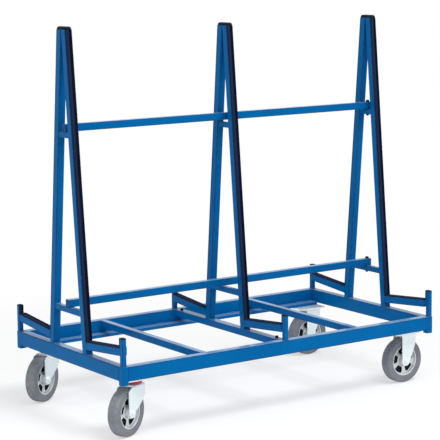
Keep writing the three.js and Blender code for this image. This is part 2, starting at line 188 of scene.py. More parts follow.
# Bolts: a washer and a head, each with its radius, how far it stands off the face, and the
# rounding of its edge
TUBE_BOLT = ((9, 1.8, 0.5), (7.5, 8, 1.2))
MEMBER_BOLT = ((8, 1.6, 0.5), (6.5, 9, 1.2))
PLATE_BOLT = ((9, 1.4, 0.4), (8, 6, 0.9))
AXLE_BOLT = ((12.5, 1.6, 0.5), (10, 5.2, 0.9))
BOLT_SEAT = 0.1
AXLE_SEAT = 0.2
# A nut in the same way, then rod ends: radius, start, end and rounding
TUBE_NUT = (7.5, 5, 1.0)
TUBE_THREAD = (4, 4, 7.5, 0.6)
AXLE_TIP = (5.4, 5, 6, 0.5)
AXLE_PAST_CHEEK = 3
AXLE_SLACK = 0.05
MEMBER_BOLT_Y = 363
PLATE_BOLT_X = 52
PLATE_BOLT_Y = 25

# Tyre: its side from the rim outwards, as radii and distances in from the side, then its shoulder
# and its crowned tread
TYRE_SIDE = (
    (RIM_RADIUS - 0.5, 2.5), (RIM_RADIUS + 2, 0.6), (78, 0.2), (80, 0), (83, 0), (84.5, 0.9),
    (87, 0.9), (89, 0.3),
)
TYRE_SHOULDER = 9
TYRE_SHOULDER_STEPS = 6
TYRE_SHOULDER_INSET = (0.6, 0.2)
TYRE_TREAD = ((WHEEL_RADIUS - 0.25, 10), (WHEEL_RADIUS, 3.5))
TYRE_WORN_DEPTH = 4
TYRE_SIDES = 96

# Rim: the hub and the flange as offsets from their radius and from the face named beside them
HUB_END = ((-4.4, 0), (-3, -0.6), (-2.4, -2))
HUB_FOOT = ((-0.6, 3), (0.6, 1))
FLANGE_FOOT = ((0, 0), (1.6, 0.8), (2.4, 2.6))
FLANGE_EDGE = ((-4.8, -1.4), (-4, -0.3), (-3, 0), (-1, 0), (-0.2, -0.4), (0, -1.4))
WEB_INNER = 29
WEB_OUTER = 59.6
POCKET_INNER = 30.5
POCKET_OUTER = 58.2
POCKET_CORNER = 6
# The pocket's lip as (offset outwards, depth, wear), and the offset of its floor
POCKET_LIP = ((1.2, 0, 0.0), (0.35, 0.35, 1.0), (0.0, 1.2, 0.0))
POCKET_DRAFT = -0.6
ARC_STEPS = 16
SIDE_STEPS = 6
FAN_STEPS = 10
FINE_STEPS = 24
RIM_MERGE = 0.02

# Forks and plates
BEND_RADIUS = 9
BEND_STEPS = 6
REAR_SWEEP = 14
SWIVEL_BULGE = 1.45
FIXED_BULGE = 1.2
EYE_ANGLES = range(84, -1, -12)
CHEEK_STEPS = 14
FORK_COLUMNS = 12
SHEET_THICKNESS = 4
SHEET_EDGE = 0.8
SHEET_EDGE_ANGLE = 50
PLATE_CORNER = 9
PLATE_ROUND = 0.9
KINGPIN_SINK = 4.5
KINGPIN_TOP_GAP = 0.2
KINGPIN_ROUND = 0.3

# The caster ring's outline: distances in from its radius with heights over its foot, then depths
# under its top
RING_SIDE = ((2.5, 0), (0.7, 0.7), (0, 2.5), (0, 7), (1, 7.6), (1, 8.6), (0, 9.2))
RING_RIM = ((0, 1.6), (1.2, 0))
RING_SIDES = 72

scene = bpy.context.scene
MM = 0.001
low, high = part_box("member_centre")
SHIFT = (low.x + high.x) / 2 / MM

X, Y, Z = Vector((1, 0, 0)), Vector((0, 1, 0)), Vector((0, 0, 1))
ENDS = {"left": -1, "right": 1}
SIDES = {"front": -1, "rear": 1}
FRAMES = {
    "left": (-END_FRAME_X, -CORNER_POST_X, 0),
    "middle": (0, 0, MIDDLE_FRAME_DROP),
    "right": (END_FRAME_X, CORNER_POST_X, 0),
}
BRACES = {"lower": BASE_TOP + LOWER_BRACE_RISE, "upper": LEG_TOP - UPPER_BRACE_DROP}


# ---------------- mesh tools

class Shape:
    """Points in millimetres and faces, with a wear mask by point and a material by face."""

    def __init__(self):
        self.points, self.faces = [], []
        self.wear, self.paint = [], []

    def add(self, rows, faces, wear=None, paint=0, place=None):
        """Takes in rows of points, and faces that count through them."""
        start = len(self.points)
        for point in (Vector(p) for row in rows for p in row):
            self.points.append(place @ point if place else point)
        self.wear += wear or [0.0] * (len(self.points) - start)
        self.faces += [[start + i for i in face] for face in faces]
        self.paint += [paint] * len(faces)

    def lowered(self, drop):
        for point in self.points:
            point.z -= drop
        return self


def row_frame(point):
    return ((point[0] + SHIFT) * MM, point[1] * MM, point[2] * MM)


def shift_to(x, y, z):
    return Matrix.Translation((x, y, z))


def tipped(degrees):
    return Matrix.Rotation(math.radians(degrees), 4, "X")


def placed(name, data):
    thing = bpy.data.objects.new(name, data)
    scene.collection.objects.link(thing)
    return thing


def piece(name, shape, body, materials, node=None, sharp=SHARP_ANGLE, merge=0.0):
    """A mesh object made from a shape, riding on a body."""
    mesh = bpy.data.meshes.new(name)
    mesh.from_pydata([row_frame(p) for p in shape.points], [], shape.faces)
    wear = mesh.attributes.new("wear", "FLOAT", "POINT")
    wear.data.foreach_set("value", shape.wear)
    mesh.polygons.foreach_set("material_index", shape.paint)
    edit = bmesh.new()
    edit.from_mesh(mesh)
    if merge:
        bmesh.ops.remove_doubles(edit, verts=edit.verts, dist=merge * MM)
    bmesh.ops.recalc_face_normals(edit, faces=edit.faces)
    edit.to_mesh(mesh)
    edit.free()
    for material in materials:
        mesh.materials.append(material)
    mesh.shade_smooth()
    mesh.set_sharp_from_angle(angle=math.radians(sharp))
    thing = placed(name, mesh)
    thing.modifiers.new("even_shading", "WEIGHTED_NORMAL").keep_sharp = True
    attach(thing, body)
    if node:
        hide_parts(node)
    return thing


def rounded_rect(width, height, radius):
    """An anticlockwise outline of (u, v, wear) points with rounded corners."""
    points = []
    for corner, (sign_u, sign_v) in enumerate(((1, 1), (-1, 1), (-1, -1), (1, -1))):
        for i in range(CORNER_STEPS + 1):
            angle = math.pi / 2 * (corner + i / CORNER_STEPS)
            u = sign_u * (width / 2 - radius) + radius * math.cos(angle)
            v = sign_v * (height / 2 - radius) + radius * math.sin(angle)
            points.append((u, v, 0.0 if i in (0, CORNER_STEPS) else 1.0))
    return points


def rectangle(x, y, width, depth, radius):
    """A rectangle in plan round a middle, with rounded corners."""
    return [(x + u, y + v) for u, v, _ in rounded_rect(width, depth, radius)]


def polygon(radius, sides=ROUND_SIDES, turn=0.0):
    """An outline in plan round the origin with its corners at a radius."""
    angles = [2 * math.pi * i / sides + turn for i in range(sides)]
    return [(radius * math.cos(a), radius * math.sin(a)) for a in angles]


def skin(rows, caps=True, closed=False):
    """Faces that join equal rings of points, with the first and last ring filled in or joined."""
    count = len(rows[0])
    last = len(rows) - 1
    faces = []
    for i in range(len(rows) if closed else last):
        j = (i + 1) % len(rows)
        for k in range(count):
            n = (k + 1) % count
            faces.append((i * count + k, i * count + n, j * count + n, j * count + k))
    if caps:
        faces.append(tuple(reversed(range(count))))
        faces.append(tuple(last * count + k for k in range(count)))
    return faces


def cut_ring(section, at, axes, normal, shift=0.0):
    """A section drawn at a point, moved along to the plane that cuts it there."""
    across, up, along = axes
    normal = Vector(normal)
    ring = []
    for u, v, _ in section:
        base = at + across * u + up * v
        t = (at - base).dot(normal) / along.dot(normal)
        ring.append(base + along * (t + shift))
    return ring


def bar(shape, start, end, across, width, height, radius, cuts=None):
    """A tube between two points with rounded corners, its ends cut by planes and broken."""
    start, end = Vector(start), Vector(end)
    along = (end - start).normalized()
    axes = (across, along.cross(across), along)
    first, last = cuts or (along, along)
    full = rounded_rect(width, height, radius)
    small = rounded_rect(width - 2 * END_CHAMFER, height - 2 * END_CHAMFER, radius - END_CHAMFER)
    rows = [
        cut_ring(small, start, axes, first),
        cut_ring(full, start, axes, first, END_CHAMFER),
        cut_ring(full, end, axes, last, -END_CHAMFER),
        cut_ring(small, end, axes, last),
    ]
    tips = [1.0] * len(small)
    shape.add(rows, skin(rows), tips + 2 * [w for _, _, w in full] + tips)
    return shape


def inset(outline, distance):
    """An anticlockwise outline with each edge moved inwards."""
    moved = []
    for i, here in enumerate(outline):
        first = (here - outline[i - 1]).normalized()
        second = (outline[(i + 1) % len(outline)] - here).normalized()
        left = Vector((-first.y, first.x))
        right = Vector((-second.y, second.x))
        moved.append(here + (left + right) * (distance / (1 + left.dot(right))))
    return moved


def prism(shape, outline, low_z, high_z, low_round, high_round, steps=3, place=None):
    """A plan outline drawn upwards, with rounded edges at the bottom and the top."""
    outline = [Vector(p) for p in outline]
    rows, wear = [], []
    levels = [(low_z, low_round, 1, i) for i in range(steps + 1)]
    levels += [(high_z, high_round, -1, i) for i in reversed(range(steps + 1))]
    for z, radius, up, i in levels:
        angle = math.pi / 2 * i / steps
        line = inset(outline, radius * (1 - math.sin(angle)))
        height = z + up * radius * (1 - math.cos(angle))
        rows.append([(p.x, p.y, height) for p in line])
        wear += [0.0 if i in (0, steps) else 1.0] * len(line)
    shape.add(rows, skin(rows), wear, place=place)
    return shape


def turned(shape, profile, sides, place, wear=None, start=0.0, closed=True):
    """An outline of (radius, y) points turned about Y, or an open line of them."""
    angles = [start - 2 * math.pi * i / sides for i in range(sides)]
    rows = [[(r * math.cos(a), y, r * math.sin(a)) for r, y in profile] for a in angles]
    faces = skin(rows, caps=False, closed=True)
    if not closed:
        faces = [face for i, face in enumerate(faces, 1) if i % len(profile)]
    shape.add(rows, faces, (wear or [0.0] * len(profile)) * sides, place=place)
    return shape


def bolt(shape, place, washer, head, turn, seat=BOLT_SEAT):
    """A washer and a hexagon head that stand on a face at a place's origin."""
    radius, low, rounding = washer
    prism(shape, polygon(radius), 0, low, seat, rounding, place=place)
    radius, top, rounding = head
    return prism(shape, polygon(radius, 6, turn), low, top, seat, rounding, place=place)


def rod_end(shape, place, radius, start, end, rounding):
    """The end of a rod that shows past a nut."""
    prism(shape, polygon(radius), start, end, BOLT_SEAT, rounding, place=place)


def bead(shape, start, end, radius=BEAD_RADIUS):
    """A weld bead: a short rippled rod half sunk in the corner that it fills."""
    start, end = Vector(start), Vector(end)
    length = (end - start).length
    along = (end - start).normalized()
    side = along.cross(OFF_AXIS).normalized()
    up = along.cross(side)
    count = max(BEAD_LEAST_ROWS, BEAD_RIPPLE_ROWS * round(length / BEAD_RIPPLE))
    turns = [2 * math.pi * k / BEAD_SIDES for k in range(BEAD_SIDES)]
    rows = []
    for i in range(count + 1):
        t = i / count
        ripple = abs(math.sin(math.pi * t * length / BEAD_RIPPLE))
        swell = 1 - BEAD_RIPPLE_DEPTH * (1 - ripple)
        size = radius * swell * min(1.0, BEAD_TIP + min(t, 1 - t) * length / radius)
        at = start + along * (t * length)
        rows.append([at + side * (size * math.cos(a)) + up * (size * math.sin(a)) for a in turns])
    shape.add(rows, skin(rows))


# ---------------- materials

def srgb(*channels):
    """A colour written as 8-bit sRGB, in Blender's linear values."""
    shares = [c / 255 for c in channels]
    return (*(s / 12.92 if s <= 0.04045 else ((s + 0.055) / 1.055) ** 2.4 for s in shares), 1.0)


class Nodes:
    """A node tree made afresh."""

    def __init__(self, owner, output):
        owner.use_nodes = True
        self.tree = owner.node_tree
        self.tree.nodes.clear()
        self.surface = self.new(output).inputs["Surface"]

    def feed(self, socket, value):
        """Links an output to a socket, or sets the socket to a plain value."""
        if isinstance(value, bpy.types.NodeSocket):
            self.tree.links.new(value, socket)
        else:
            socket.default_value = value

    def new(self, kind, **inputs):
        """A node with its inputs fed by name, an underscore standing for a space."""
        node = self.tree.nodes.new(kind)
        for name, value in inputs.items():
            self.feed(node.inputs[name.replace("_", " ")], value)
        return node

    def math(self, operation, first, second):
        node = self.new("ShaderNodeMath")
        node.operation = operation
        self.feed(node.inputs[0], first)
        self.feed(node.inputs[1], second)
        return node.outputs["Value"]

    def blend(self, factor, first, second):
        node = self.new("ShaderNodeMixShader", Fac=factor)
        self.feed(node.inputs[1], first)
        self.feed(node.inputs[2], second)
        return node.outputs["Shader"]


class Finish(Nodes):
    """A material with procedural detail."""

    def __init__(self, name):
        self.material = bpy.data.materials.new(name)
        super().__init__(self.material, "ShaderNodeOutputMaterial")
        self.place = self.new("ShaderNodeTexCoord").outputs["Object"]
        self.normal = None

    def times(self, first, second):
        return self.math("MULTIPLY", first, second)

    def plus(self, first, second):
        return self.math("ADD", first, second)

    def noise(self, scale, detail=3.0, roughness=0.5, stretch=None):
        place = self.place
        if stretch:
            place = self.new("ShaderNodeMapping", Vector=place, Scale=stretch).outputs["Vector"]
        node = self.new("ShaderNodeTexNoise", Vector=place, Scale=scale, Detail=detail,
                        Roughness=roughness)
        return node.outputs["Fac"]

    def cells(self, scale):
        return self.new("ShaderNodeTexVoronoi", Vector=self.place, Scale=scale).outputs["Color"]

    def wear(self):
        """The mask on rounded edges, which the blue coat also uses for painted shade."""
        node = self.new("ShaderNodeAttribute")
        node.attribute_name = "wear"
        return node.outputs["Fac"]

    def facing(self, axis):
        """How far the surface faces along an axis."""
        normal = self.new("ShaderNodeNewGeometry").outputs["Normal"]
        return self.new("ShaderNodeSeparateXYZ", Vector=normal).outputs[axis]

    def span(self, source, low, high, to_low=0.0, to_high=1.0):
        """A value's range from low to high, spread over another range."""
        node = self.new("ShaderNodeMapRange", Value=source, From_Min=low, From_Max=high,
                        To_Min=to_low, To_Max=to_high)
        return node.outputs["Result"]

    def mix(self, factor, first, second):
        node = self.new("ShaderNodeMix")
        node.data_type = "RGBA"
        self.feed(node.inputs["Factor"], factor)
        self.feed(node.inputs[6], first)
        self.feed(node.inputs[7], second)
        return node.outputs[2]

    def bump(self, height, strength, distance):
        """A bump on top of the ones before, its distance in millimetres."""
        node = self.new("ShaderNodeBump", Height=height, Strength=strength, Distance=distance * MM)
        if self.normal:
            self.feed(node.inputs["Normal"], self.normal)
        self.normal = node.outputs["Normal"]

    def done(self, colour, roughness, **fixed):
        shader = self.new("ShaderNodeBsdfPrincipled", Base_Color=colour, Roughness=roughness,
                          Normal=self.normal, **fixed)
        self.feed(self.surface, shader.outputs["BSDF"])
        return self.material


def blue_coat():
    f = Finish("blue_coat")
    broad = f.span(f.noise(2.6, 4), 0.3, 0.7)
    cloud = f.span(f.noise(38, 6, 0.62), 0.35, 0.7)
    colour = f.mix(broad, srgb(1, 93, 156), srgb(1, 105, 170))
    colour = f.mix(f.times(cloud, 0.14), colour, srgb(1, 112, 178))
    # Painted shade: deeper blue along the rounded edges, with small pale chips of wear on them
    chips = f.span(f.noise(210, 5, 0.7), 0.5, 0.72)
    edge = f.times(f.wear(), f.span(f.noise(14, 4), 0.35, 0.75, 0.6, 0.95))
    colour = f.mix(edge, colour, srgb(0, 50, 108))
    colour = f.mix(f.times(f.times(edge, chips), 0.5), colour, srgb(130, 165, 195))
    # Painted highlight: the faces that look up are made paler in patches, for the sheen of light on
    # them; the same mask makes them rougher, as dust would
    patchy = f.span(f.noise(9, 5, 0.65), 0.3, 0.8, 0.18, 0.42)
    top_sheen_and_dust = f.times(f.span(f.facing("Z"), 0.7, 1.0), patchy)
    colour = f.mix(top_sheen_and_dust, colour, srgb(192, 222, 240))
    roughness = f.span(f.plus(f.times(cloud, 0.5), top_sheen_and_dust), 0.0, 0.8, 0.12, 0.22)
    f.bump(f.noise(620, 2), 0.1, 0.2)
    f.bump(f.noise(2400, 1), 0.05, 0.06)
    return f.done(colour, roughness, Specular_IOR_Level=0.02, Specular_Tint=(0.03, 0.4, 0.9, 1),
                  Coat_Weight=1.0, Coat_IOR=1.08, Coat_Roughness=0.04)


def black_rubber():
    f = Finish("black_rubber")
    broad = f.span(f.noise(5, 4), 0.3, 0.7)
    scuff = f.span(f.noise(46, 6, 0.68, (1.0, 1.0, 0.22)), 0.52, 0.8)
    colour = f.mix(broad, srgb(7, 10, 26), srgb(15, 20, 42))
    colour = f.mix(f.times(scuff, 0.3), colour, srgb(44, 52, 70))
    # Painted light: the slope that looks to the left is made paler, as if lit from that side
    slope = f.span(f.facing("X"), 0.0, -0.06, 0.0, 0.4)
    colour = f.mix(slope, colour, srgb(48, 66, 100))
    colour = f.mix(f.times(f.wear(), 0.35), colour, srgb(36, 42, 58))
    roughness = f.span(f.plus(scuff, broad), 0.0, 1.6, 0.7, 0.9)
    f.bump(f.noise(1500, 3, 0.6), 0.25, 0.12)
    f.bump(f.noise(90, 3), 0.08, 0.4)
    return f.done(colour, roughness, Specular_IOR_Level=0.015)


def black_plastic():
    f = Finish("black_plastic")
    broad = f.span(f.noise(30, 4), 0.3, 0.7)
    rubbed = f.times(f.wear(), f.span(f.noise(160, 4), 0.4, 0.7, 0.1, 0.6))
    colour = f.mix(broad, srgb(11, 13, 22), srgb(20, 23, 34))
    colour = f.mix(rubbed, colour, srgb(46, 50, 62))
    roughness = f.span(broad, 0.0, 1.0, 0.5, 0.65)
    f.bump(f.noise(1900, 2), 0.2, 0.08)
    return f.done(colour, roughness, Specular_IOR_Level=0.05)


def zinc_steel():
    f = Finish("zinc_steel")
    spangle = f.span(f.cells(210), 0.2, 0.9)
    broad = f.span(f.noise(26, 5, 0.6), 0.3, 0.72)
    colour = f.mix(broad, srgb(230, 243, 245), srgb(243, 251, 251))
    colour = f.mix(f.times(spangle, 0.16), colour, srgb(212, 222, 227))
    stain = f.span(f.noise(60, 6, 0.7), 0.56, 0.8, 0.0, 0.3)
    colour = f.mix(stain, colour, srgb(204, 210, 211))
    colour = f.mix(f.times(f.wear(), 0.35), colour, srgb(245, 247, 247))
    roughness = f.span(f.plus(broad, stain), 0.0, 1.3, 0.3, 0.5)
    f.bump(f.noise(900, 3), 0.12, 0.1)
    f.bump(f.noise(120, 3), 0.06, 0.3)
    return f.done(colour, roughness, Metallic=0.5)


def cast_alloy():
    f = Finish("cast_alloy")
    broad = f.span(f.noise(40, 5, 0.6), 0.3, 0.7)
    colour = f.mix(broad, srgb(198, 204, 206), srgb(226, 231, 232))
    grime = f.span(f.noise(75, 6, 0.7), 0.55, 0.85, 0.0, 0.4)
    colour = f.mix(grime, colour, srgb(150, 154, 156))
    colour = f.mix(f.times(f.wear(), 0.4), colour, srgb(242, 245, 245))
    roughness = f.span(f.plus(broad, grime), 0.0, 1.3, 0.36, 0.58)
    f.bump(f.noise(760, 4, 0.65), 0.22, 0.18)
    return f.done(colour, roughness, Metallic=0.55)


# Painted shade: a near-black finish for the insides of the rim's pockets, where shade falls
def painted_pocket_shade():
    f = Finish("painted_pocket_shade")
    broad = f.span(f.noise(55, 5), 0.3, 0.7)
    colour = f.mix(broad, srgb(9, 10, 13), srgb(20, 21, 25))
    roughness = f.span(broad, 0.0, 1.0, 0.62, 0.8)
    f.bump(f.noise(800, 4, 0.6), 0.3, 0.2)
    return f.done(colour, roughness, Specular_IOR_Level=0.25)


def grey_tyre():
    f = Finish("grey_tyre")
    broad = f.span(f.noise(16, 5, 0.6), 0.3, 0.7)
    speck = f.span(f.noise(420, 4, 0.7), 0.35, 0.7)
    colour = f.mix(broad, srgb(108, 112, 120), srgb(128, 132, 140))
    colour = f.mix(f.times(speck, 0.25), colour, srgb(146, 148, 150))
    tread = f.times(f.wear(), f.span(f.noise(65, 6, 0.7), 0.45, 0.8))
    colour = f.mix(f.times(tread, 0.6), colour, srgb(166, 165, 162))
    roughness = f.span(f.plus(broad, speck), 0.0, 2.0, 0.62, 0.84)
    f.bump(f.noise(1300, 3), 0.3, 0.12)
    f.bump(f.noise(150, 4), 0.1, 0.5)
    return f.done(colour, roughness, Specular_IOR_Level=0.35)


def red_plastic():
    f = Finish("red_plastic")
    broad = f.span(f.noise(70, 4), 0.3, 0.7)
    colour = f.mix(broad, srgb(178, 20, 58), srgb(203, 34, 74))
    dusty = f.span(f.noise(180, 5, 0.7), 0.55, 0.85, 0.0, 0.35)
    colour = f.mix(dusty, colour, srgb(196, 112, 130))
    colour = f.mix(f.times(f.wear(), 0.3), colour, srgb(222, 92, 118))
    roughness = f.span(f.plus(broad, dusty), 0.0, 1.3, 0.36, 0.56)
    f.bump(f.noise(1500, 2), 0.2, 0.08)
    return f.done(colour, roughness, Specular_IOR_Level=0.5)


BLUE = blue_coat()
RUBBER = black_rubber()
PLASTIC = black_plastic()
ZINC = zinc_steel()
ALLOY = cast_alloy()
POCKET_SHADE = painted_pocket_shade()
GREY = grey_tyre()
RED = red_plastic()


def tube(node, shape):
    """A blue tube in the place of a CAD node."""
    piece(f"{node}_tube", shape, "frame", [BLUE], node)


def beads(name, shape):
    piece(name, shape, "frame", [BLUE], sharp=BEAD_SHARP)


def black(name, shape, node=None):
    piece(name, shape, "frame", [PLASTIC], node)


def zinc(name, shape, body="frame", node=None):
    return piece(name, shape, body, [ZINC], node)


# ---------------- base frame

def long_rail(side):
    """A long rail with the ledge along its lower inner edge."""
    shape = Shape()
    y = side * (HALF_WIDTH - RAIL_WIDTH / 2)
    z = (RAIL_BOTTOM + BASE_TOP) / 2
    height = BASE_TOP - RAIL_BOTTOM
    bar(shape, (-RAIL_END_X, y, z), (RAIL_END_X, y, z), Y, RAIL_WIDTH, height, RAIL_ROUND)
    end = RAIL_INNER_X - LEDGE_END_GAP
    y = side * (RAIL_INNER_Y - LEDGE_WIDTH / 2 + LEDGE_SINK / 2)
    z = (PLATE_TOP + LEDGE_TOP) / 2
    width, height = LEDGE_WIDTH + LEDGE_SINK, LEDGE_TOP - PLATE_TOP
    return bar(shape, (-end, y, z), (end, y, z), Y, width, height, LEDGE_ROUND)


def end_rail(side):
    """The notched plan of an end rail, with its long edges rounded."""
    half = [
        (HALF_LENGTH, RAIL_END_Y), (RAIL_END_X, RAIL_END_Y), (RAIL_END_X, RAIL_INNER_Y),
        (RAIL_INNER_X, RAIL_INNER_Y),
    ]
    plan = half + [(x, -y) for x, y in reversed(half)]
    if side < 0:
        plan = [(-x, y) for x, y in reversed(plan)]
    return prism(Shape(), plan, RAIL_BOTTOM, BASE_TOP, RAIL_ROUND, RAIL_ROUND, steps=4)


for name_y, side in SIDES.items():
    tube(f"rail_{name_y}", long_rail(side))
for name_x, side in ENDS.items():
    tube(f"rail_{name_x}", end_rail(side))

for name, (x, width) in MEMBERS.items():
    z = BASE_TOP - MEMBER_HEIGHT / 2
    start, end = (x, -RAIL_INNER_Y, z), (x, RAIL_INNER_Y, z)
    tube(f"member_{name}", bar(Shape(), start, end, X, width, MEMBER_HEIGHT, TUBE_ROUND))


def post_tube(shape, x, y, from_z, top_z):
    return bar(shape, (x, y, from_z), (x, y, top_z - POST_CAP), X, POST_SIDE, POST_SIDE, POST_ROUND)


def post_cap(name, x, y, top_z):
    """A black cap pressed into the top of a post."""
    plan = rectangle(x, y, POST_SIDE, POST_SIDE, POST_ROUND)
    black(name, prism(Shape(), plan, top_z - POST_CAP, top_z, *POST_CAP_ROUNDS))


for name_y, side_y in SIDES.items():
    y = side_y * POST_Y
    corner_y = side_y * (HALF_WIDTH - CORNER_SIDE / 2)
    for name_x, side_x in ENDS.items():
        x = side_x * CORNER_POST_X
        corner_x = side_x * (HALF_LENGTH - CORNER_SIDE / 2)
        plan = rectangle(corner_x, corner_y, CORNER_SIDE, CORNER_SIDE, TUBE_ROUND)
        shape = prism(Shape(), plan, CORNER_FOOT, BASE_TOP, *CORNER_ROUNDS)
        post_tube(shape, x, y, BASE_TOP - POST_SINK, POST_TOP)
        tube(f"corner_post_{name_y}_{name_x}", shape)
        post_cap(f"post_cap_{name_y}_{name_x}", x, y, POST_TOP)
    top_z = POST_TOP - MIDDLE_FRAME_DROP
    tube(f"middle_post_{name_y}", post_tube(Shape(), 0, y, BASE_TOP, top_z))
    post_cap(f"post_cap_{name_y}_middle", 0, y, top_z)


# ---------------- A-frames

# In side view: the ways down the leg and out along the arm, the corner where the leg's face
# meets the arm's top, and the far end of the arm's top
DOWN_LEG = Vector((LEAN, -1)) / SLANT
OUT_ARM = Vector((1, LEAN)) / SLANT
ARM_ROOT = Vector((FOOT_SPREAD - LEAN * ARM_RISE, BASE_TOP + ARM_RISE))
ARM_END = ARM_ROOT + OUT_ARM * ((POST_FACE_Y - ARM_ROOT.x) / OUT_ARM.x)


def leg_face(z):
    """How far out the leg's face stands at a height."""
    return FOOT_SPREAD - LEAN * (z - BASE_TOP)


def leg(x, side, foot_z):
    foot = (x, side * (leg_face(foot_z) - LEG_SIDE / 2), foot_z)
    top = (x, side * (APEX_SPREAD - LEG_SIDE / 2), LEG_TOP)
    return bar(Shape(), foot, top, X, LEG_SIDE, LEG_SIDE / SLANT, TUBE_ROUND, (Z, Z))


def arm(x, side):
    middle = ARM_ROOT + DOWN_LEG * (ARM_SIDE / 2)
    far = middle + OUT_ARM * ((POST_FACE_Y - middle.x) / OUT_ARM.x)
    start = (x, side * middle.x, middle.y)
    end = (x, side * far.x, far.y)
    square = (0, side * OUT_ARM.x, OUT_ARM.y)
    return bar(Shape(), start, end, X, ARM_SIDE, ARM_SIDE, TUBE_ROUND, (square, Y))


def brace(x, top_z):
    z = top_z - BRACE_SIDE / 2
    y = leg_face(z) - LEG_SIDE
    cuts = ((0, 1, -LEAN), (0, 1, LEAN))
    return bar(Shape(), (x, -y, z), (x, y, z), X, BRACE_SIDE, BRACE_SIDE, TUBE_ROUND, cuts)


def strip(shape, start, end, out, width, cuts):
    """A rubber strip along a line in side view, its face falling away to both sides."""
    half = width / 2
    slope = half - STRIP_RIDGE
    fall = (LINING_THICKNESS - STRIP_EDGE) / slope
    left = [
        (-half, 0, 0.0),
        (-half, STRIP_EDGE - STRIP_EDGE_ROUND, 0.0),
        (-half + STRIP_EDGE_ROUND, STRIP_EDGE, 1.0),
    ]
    for share, depth in STRIP_GROOVE:
        reach = half - slope * share
        left.append((-reach, LINING_THICKNESS - fall * (reach - STRIP_RIDGE) - depth, 0.0))
    left.append((-STRIP_RIDGE, LINING_THICKNESS - STRIP_RIDGE_FALL, 0.0))
    left.append((-STRIP_RIDGE / 3, LINING_THICKNESS, 0.0))
    section = left + [(-u, v, w) for u, v, w in reversed(left)]
    start, end = Vector(start), Vector(end)
    axes = (X, Vector(out), (end - start).normalized())
    rows = [cut_ring(section, at, axes, cut) for at, cut in zip((start, end), cuts)]
    shape.add(rows, skin(rows), 2 * [w for _, _, w in section])


def lining(x, side, post_x):
    """The strips on a leg, its arm and the post beside it."""
    def side_view(point):
        return (x, side * point[0], point[1])

    shape = Shape()
    out_of_leg = (0, side * OUT_ARM.x, OUT_ARM.y)
    up_from_arm = (0, side * -DOWN_LEG.x, -DOWN_LEG.y)
    top = side_view((leg_face(LEG_TOP), LEG_TOP))
    low = side_view(ARM_ROOT - DOWN_LEG * LINING_THICKNESS)
    strip(shape, top, low, out_of_leg, LINING_WIDTH, (Z, up_from_arm))
    near, far = side_view(ARM_ROOT), side_view(ARM_END)
    strip(shape, near, far, up_from_arm, LINING_WIDTH, (out_of_leg, Y))
    foot = (post_x, side * POST_FACE_Y, ARM_END.y + LINING_THICKNESS * SLANT)
    head = (post_x, side * POST_FACE_Y, POST_TOP - POST_STRIP_GAP)
    strip(shape, foot, head, (0, -side, 0), POST_SIDE, ((0, -side * LEAN, 1), Z))
    return shape


def top_cap(x):
    """The moulded cap over both legs, with a crowned top."""
    reach = APEX_SPREAD + LINING_THICKNESS * SLANT
    plan = rectangle(x, 0, LEG_SIDE, 2 * reach, CAP_CORNER)
    return prism(Shape(), plan, LEG_TOP, CART_HEIGHT, CAP_FOOT, CAP_CROWN, steps=5)


for name, (x, post_x, drop) in FRAMES.items():
    for name_y, side in SIDES.items():
        place = f"{name}_{name_y}"
        tube(f"leg_{place}", leg(x, side, BASE_TOP + drop).lowered(drop))
        tube(f"arm_{place}", arm(x, side).lowered(drop))
        shape = lining(x, side, post_x).lowered(drop)
        piece(f"lining_{place}_strip", shape, "frame", [RUBBER], f"lining_{place}")
    for level, top_z in BRACES.items():
        tube(f"{level}_brace_{name}", brace(x, top_z).lowered(drop))
    black(f"top_cap_{name}_moulding", top_cap(x).lowered(drop), f"top_cap_{name}")


DOWNWARD = tipped(180)

# Long tubes, each bolted down through the right end frame's brace
for level, rest_z in BRACES.items():
    z = rest_z + LONG_TUBE_SIDE / 2
    end = END_FRAME_X + BRACE_SIDE / 2
    shape = bar(Shape(), (-end, 0, z), (end, 0, z), Y, LONG_TUBE_SIDE, LONG_TUBE_SIDE, TUBE_ROUND)
    tube(f"long_tube_{level}", shape)
    shape = bolt(Shape(), shift_to(END_FRAME_X, 0, rest_z + LONG_TUBE_SIDE), *TUBE_BOLT, turn=0.4)
    under = shift_to(END_FRAME_X, 0, rest_z - BRACE_SIDE) @ DOWNWARD
    radius, height, rounding = TUBE_NUT
    prism(shape, polygon(radius, 6, turn=-0.1), 0, height, BOLT_SEAT, rounding, place=under)
    rod_end(shape, under, *TUBE_THREAD)
    black(f"tube_bolt_{level}_right", shape)

# Bolts that stand on the centre member, under the ends of the middle frame's arms
for name_y, side in SIDES.items():
    at = shift_to(0, side * MEMBER_BOLT_Y, BASE_TOP)
    black(f"member_bolt_{name_y}", bolt(Shape(), at, *MEMBER_BOLT, turn=0.2))


# ---------------- weld beads

